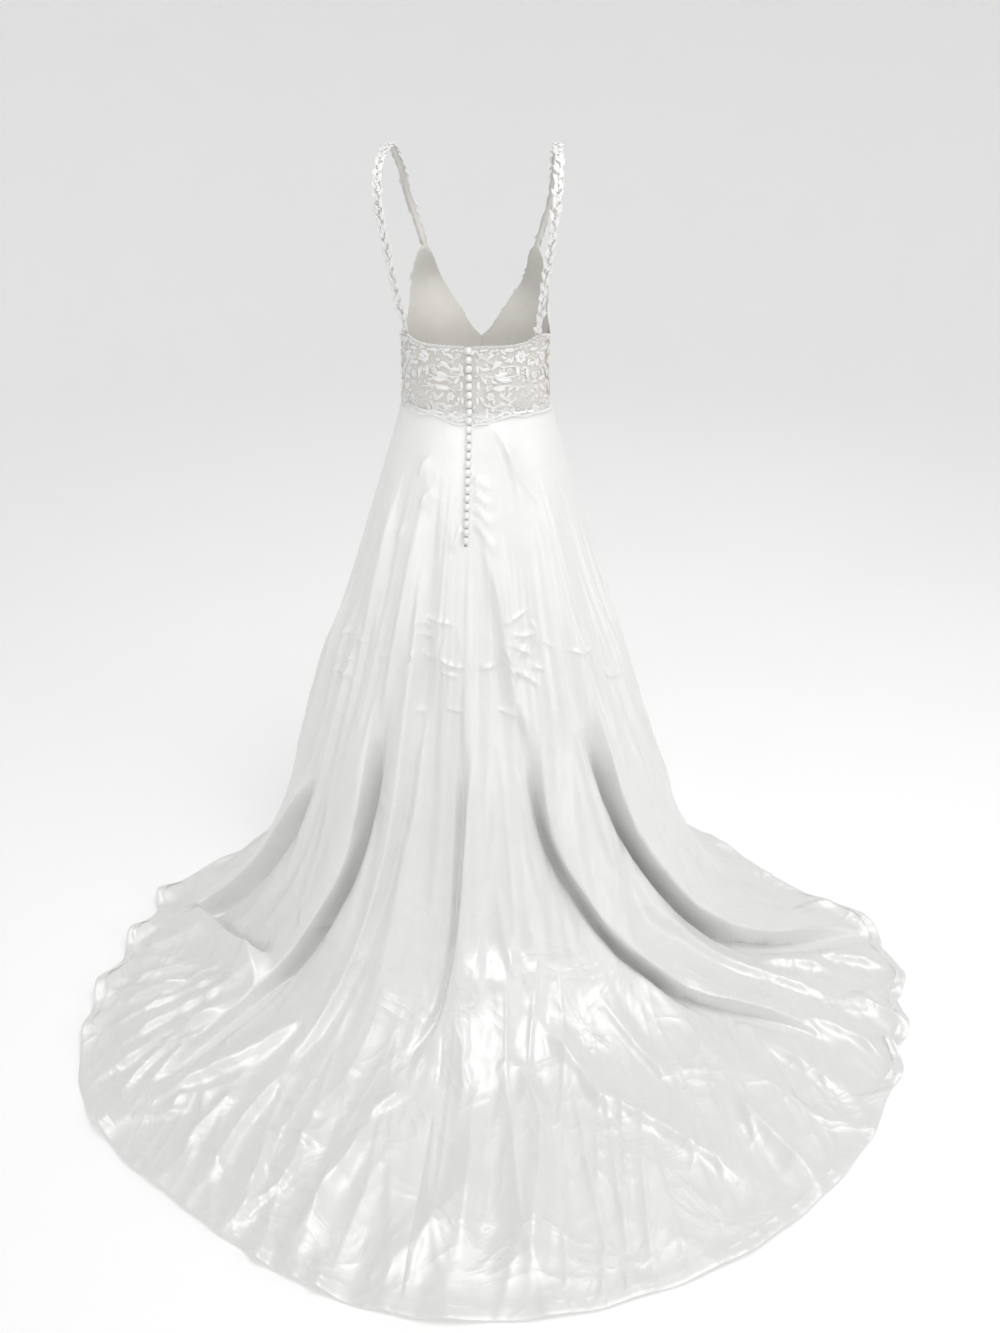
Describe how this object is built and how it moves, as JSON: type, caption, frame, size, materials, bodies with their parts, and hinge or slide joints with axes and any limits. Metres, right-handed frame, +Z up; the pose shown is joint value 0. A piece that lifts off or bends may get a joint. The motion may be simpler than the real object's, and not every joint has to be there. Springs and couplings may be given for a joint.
{
  "type": "wedding dress",
  "caption": "A-line satin wedding dress in worn form, with a lace bodice, low open back, lace straps, a buttoned centre back and a train spread behind.",
  "frame": {"origin": "midway between the two straps, at the height where their undersides rest on the shoulders", "axes": "+Z up; the front faces -Y and the train runs out to +Y; +X is the wearer's left"},
  "size_m": [1.5397, 1.4468, 1.4487],
  "materials": {
    "satin": "heavy ivory-white satin, soft sheen",
    "lace": "corded and beaded lace on ivory net, matt",
    "net": "sheer skin-toned net with scattered lace",
    "button_satin": "satin-covered buttons"
  },
  "bodies": {
    "root": {"skirt_back_left": "satin", "skirt_back_right": "satin", "skirt_front": "satin", "back_band_left": "lace", "back_band_right": "lace", "bodice_front_left": "lace", "bodice_front_right": "lace", "strap_left": "lace", "strap_right": "lace", "side_panel_left": "net", "side_panel_right": "net", "button_01": "button_satin", "button_02": "button_satin", "button_03": "button_satin", "button_04": "button_satin", "button_05": "button_satin", "button_06": "button_satin", "button_07": "button_satin", "button_08": "button_satin", "button_09": "button_satin", "button_10": "button_satin", "button_11": "button_satin", "button_12": "button_satin", "button_13": "button_satin", "button_14": "button_satin", "button_15": "button_satin", "button_16": "button_satin", "button_17": "button_satin", "button_18": "button_satin", "button_19": "button_satin", "button_20": "button_satin", "button_21": "button_satin", "button_22": "button_satin", "button_23": "button_satin"}
  },
  "joints": []
}
